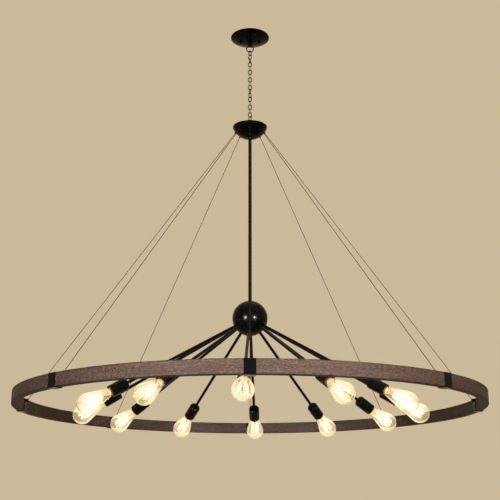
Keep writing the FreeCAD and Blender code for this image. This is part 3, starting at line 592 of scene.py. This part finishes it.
# ---------------------------------------------------------------- camera, lamps and room
def make_camera():
    """The photograph's own view: from below the rim, looking up a little."""
    lens = bpy.data.cameras.new("photo_camera")
    lens.sensor_width = SENSOR_WIDTH
    lens.lens = SENSOR_WIDTH * FOCAL_PIXELS / IMAGE_WIDTH
    lens.clip_end = CAMERA_REACH
    camera = bpy.data.objects.new("photo_camera", lens)
    camera.location = (0.0, -CAMERA_BACK, RIM_BOTTOM - CAMERA_UNDER_RIM)
    camera.rotation_euler = (math.pi / 2 + CAMERA_PITCH, 0.0, 0.0)
    bpy.context.scene.collection.objects.link(camera)
    bpy.context.scene.camera = camera


def make_lamp(name, place, target, size, watts, spread=math.pi, lights=True, mirrored=True):
    """A square softbox that faces a target: it lights surfaces, is mirrored in glossy ones, or both."""
    light = bpy.data.lights.new(name, "AREA")
    light.size = size
    light.energy = watts
    light.spread = spread
    lamp = bpy.data.objects.new(name, light)
    lamp.location = place
    lamp.rotation_euler = (Vector(target) - Vector(place)).to_track_quat("-Z", "Y").to_euler()
    lamp.visible_camera = False
    lamp.visible_transmission = False
    lamp.visible_diffuse = lights
    lamp.visible_glossy = mirrored
    bpy.context.scene.collection.objects.link(lamp)


def seen_rays(nodes, links):
    """1 for a ray that sees the surround, straight or in metal or glass, and 0 for one that lights."""
    rays = nodes.new("ShaderNodeLightPath").outputs
    seen = rays["Is Camera Ray"]
    for ray in ("Is Glossy Ray", "Is Transmission Ray"):
        either = nodes.new("ShaderNodeMath")
        either.operation = "MAXIMUM"
        links.new(seen, either.inputs[0])
        links.new(rays[ray], either.inputs[1])
        seen = either.outputs[0]
    return seen


def make_floor():
    """A pale floor well below the rim: it takes the shadow and fades into the surround further off."""
    maker = bmesh.new()
    level = RIM_BOTTOM - FLOOR_DROP
    edge = add_ring(maker, FLOOR_RADIUS, level, FLOOR_SIDES, Matrix.Identity(4))
    maker.faces.new(edge)
    mesh = bpy.data.meshes.new("floor")
    maker.to_mesh(mesh)
    maker.free()
    paint = Finish("floor_paint")
    tone = paint.colours(paint.noise(2.0), (0.3, (0.15, 0.123, 0.082)), (0.7, (0.165, 0.135, 0.09)))
    paint.finish(Base_Color=tone, Roughness=0.95, Specular_IOR_Level=0.05)
    seen = seen_rays(paint.nodes, paint.links)
    filled = paint.math("MULTIPLY", seen, FLOOR_FILL)
    fill = paint.add("Emission", {"Color": ROOM_COLOUR, "Strength": filled})
    near = paint.add("AddShader", {0: paint.shader.outputs[0], 1: fill.outputs[0]})
    foot = (0.0, 0.0, level)
    off = paint.add("VectorMath", {0: paint.place(), 1: foot}, operation="DISTANCE").outputs["Value"]
    far = paint.between(off, 0.0, 1.0, SHADOW_REACH, SHADOW_REACH + FLOOR_FADE)
    surround = paint.add("Emission", {"Color": ROOM_COLOUR, "Strength": 1.0})
    share = paint.math("MULTIPLY", far, seen)
    both = paint.add("MixShader", {0: share, 1: near.outputs[0], 2: surround.outputs[0]})
    paint.put(paint.nodes["Material Output"], "Surface", both.outputs[0])
    mesh.materials.append(paint.material)
    floor = bpy.data.objects.new("floor", mesh)
    bpy.context.scene.collection.objects.link(floor)


def make_surround():
    """A pale even surround, which is seen brighter than it lights the object."""
    world = bpy.data.worlds.new("pale_surround")
    world.use_nodes = True
    bpy.context.scene.world = world
    nodes = world.node_tree.nodes
    links = world.node_tree.links
    shown = nodes["Background"]
    shown.inputs["Color"].default_value = ROOM_COLOUR
    shown.inputs["Strength"].default_value = 1.0
    ambient = nodes.new("ShaderNodeBackground")
    ambient.inputs["Color"].default_value = AMBIENT_COLOUR
    ambient.inputs["Strength"].default_value = AMBIENT_STRENGTH
    mix = nodes.new("ShaderNodeMixShader")
    links.new(seen_rays(nodes, links), mix.inputs[0])
    links.new(ambient.outputs[0], mix.inputs[1])
    links.new(shown.outputs[0], mix.inputs[2])
    links.new(mix.outputs[0], nodes["World Output"].inputs["Surface"])


def make_lamps():
    """Two lamps for the ball's highlights, one on the rim's front, one behind and a wide one above."""
    middle = tuple(OBJECT_MIDDLE)
    ball = tuple(BALL_CENTRE)
    rim_front = (0.0, -RIM_OUTER, RIM_TOP)
    beam = math.radians(12.0)
    for side, name in ((-1.0, "left_softbox"), (1.0, "right_softbox")):
        place = (side * CATCH_LAMP_SIDE, -CATCH_LAMP_FRONT, RIM_BOTTOM + CATCH_LAMP_RISE)
        make_lamp(name, place, ball, size=1.4, watts=19.0, spread=beam, lights=False)
    beam = math.radians(11.0)
    place = (0.0, -FRONT_LAMP_FRONT, RIM_TOP + FRONT_LAMP_RISE)
    make_lamp("front_softbox", place, rim_front, size=1.2, watts=9.5, spread=beam, mirrored=False)
    place = (0.0, BACK_LAMP_BACK, RIM_TOP + BACK_LAMP_RISE)
    make_lamp("back_softbox", place, middle, size=3.0, watts=70.0, mirrored=False)
    place = (0.0, 0.0, RIM_TOP + TOP_LAMP_RISE)
    make_lamp("top_softbox", place, middle, size=4.0, watts=32.0)


# ---------------------------------------------------------------- the scene
bpy.context.scene.view_settings.view_transform = "Standard"

support_metal = brass("support_wire", (0.2, 0.15, 0.1), (0.42, 0.33, 0.22), 0.3, 0.45)
FINISHES = {
    "black_steel": satin_black(),
    "bronze_steel": oiled_bronze(),
    "bulb_glass": glowing_glass(),
    "bulb_brass": brass("spun_brass", (0.5, 0.31, 0.13), (0.78, 0.52, 0.26), 0.2, 0.36),
    "holder_plastic": dull_phenolic(),
    "contact_brass": brass("bright_brass", (0.6, 0.43, 0.18), (0.83, 0.64, 0.32), 0.16, 0.3),
    "screw_steel": black_oxide(),
    "ferrule_steel": black_nickel(),
    "zinc_steel": zinc_plate(),
}
dress_nodes(FINISHES)

INSIDES = {"stem": stem_glass(), "support": support_metal, "filament": hot_filament()}
for order, bulb in enumerate(BULBS):
    make_bulb(bulb, TURN_STEP * order, INSIDES)

make_camera()
make_floor()
make_surround()
make_lamps()
